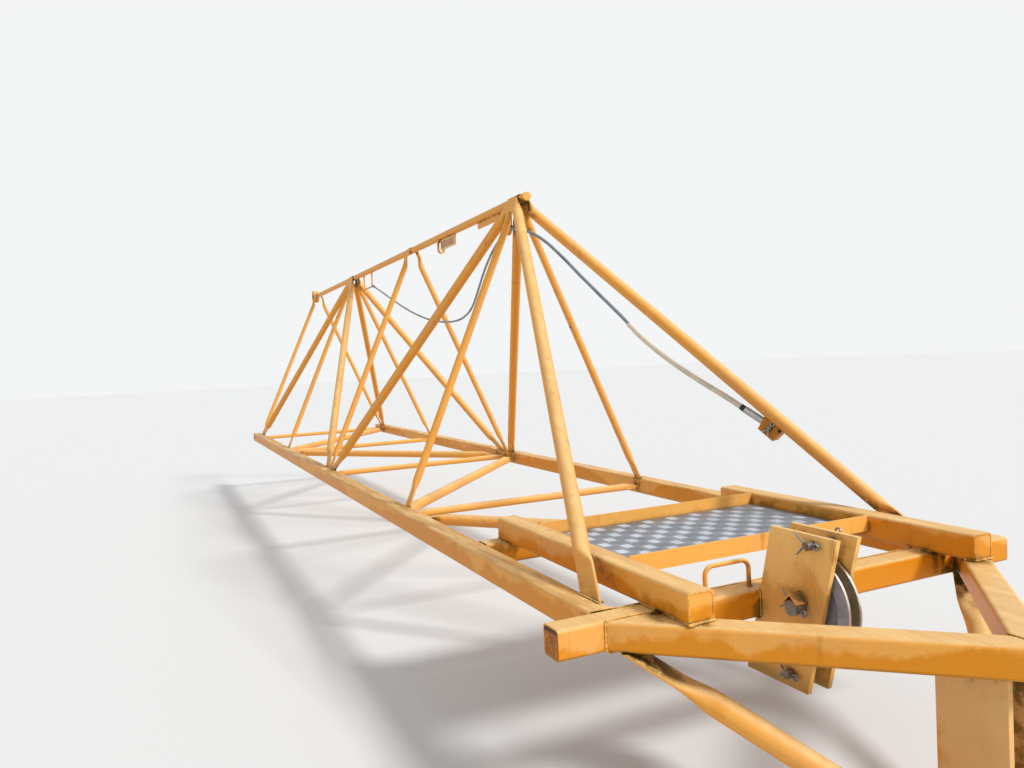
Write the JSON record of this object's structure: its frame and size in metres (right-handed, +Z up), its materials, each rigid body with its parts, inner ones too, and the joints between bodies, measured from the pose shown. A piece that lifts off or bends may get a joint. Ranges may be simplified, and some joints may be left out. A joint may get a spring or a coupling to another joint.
{
  "type": "tower crane jib end section",
  "caption": "Triangular tube lattice end section of a tower crane jib, with box bottom chords, a work deck, a raked nose and a turning rope sheave.",
  "frame": {"origin": "middle of the root end face of the left bottom chord", "axes": "+X along the jib from the root to the nose, +Y from the left bottom chord to the right one, +Z up"},
  "size_m": [7.4119, 1.58, 1.9753],
  "materials": {
    "jib_paint": "faded, chalky yellow paint with rust at the welds",
    "pin_steel": "dull zinc-grey",
    "sheave_iron": "dark grey, worn bright in the groove",
    "tread_aluminium": "tread pattern, dull",
    "collar_rubber": "matt",
    "sleeve_plastic": "cream, dusty",
    "rope_cover": "dark grey, dull"
  },
  "bodies": {
    "jib": {"left_bottom_chord": "jib_paint", "right_bottom_chord": "jib_paint", "top_chord": "jib_paint", "top_eye": "jib_paint", "left_posts": "jib_paint", "right_posts": "jib_paint", "left_forward_diagonals": "jib_paint", "right_forward_diagonals": "jib_paint", "left_rear_diagonals": "jib_paint", "right_rear_diagonals": "jib_paint", "cross_tubes": "jib_paint", "bottom_diagonals": "jib_paint", "bottom_diagonals_return": "jib_paint", "tip_beam": "jib_paint", "rear_beam": "jib_paint", "left_deck_rail": "jib_paint", "right_deck_rail": "jib_paint", "front_deck_angle": "jib_paint", "rear_deck_angle": "jib_paint", "tread_plate": "tread_aluminium", "hand_hold": "jib_paint", "left_raking_beam": "jib_paint", "right_raking_beam": "jib_paint", "left_nose_cheek": "jib_paint", "right_nose_cheek": "jib_paint", "left_nose_tube": "jib_paint", "right_nose_tube": "jib_paint", "left_sheave_plate": "jib_paint", "right_sheave_plate": "jib_paint", "sheave_axle": "pin_steel", "rope_guard_pins": "pin_steel", "axle_keeper": "jib_paint", "lifeline_clevis": "jib_paint", "clevis_pin": "pin_steel", "lifeline_socket": "pin_steel", "socket_collar": "collar_rubber", "lifeline_sleeve": "sleeve_plastic", "lifeline": "rope_cover", "front_ferrule": "pin_steel", "apex_lug": "jib_paint", "middle_ferrule": "pin_steel", "slack_rope": "rope_cover", "rear_ferrule": "pin_steel", "rear_loop": "jib_paint", "rope_lug": "jib_paint", "marker_plate": "jib_paint", "marker_ring": "jib_paint"},
    "sheave": {"sheave": "sheave_iron"}
  },
  "joints": [
    {"name": "sheave_spin", "type": "hinge", "parent": "jib", "child": "sheave", "pos_m": [6.928, 0.472, 0.03], "axis": [0, 1, 0], "continuous": true}
  ]
}
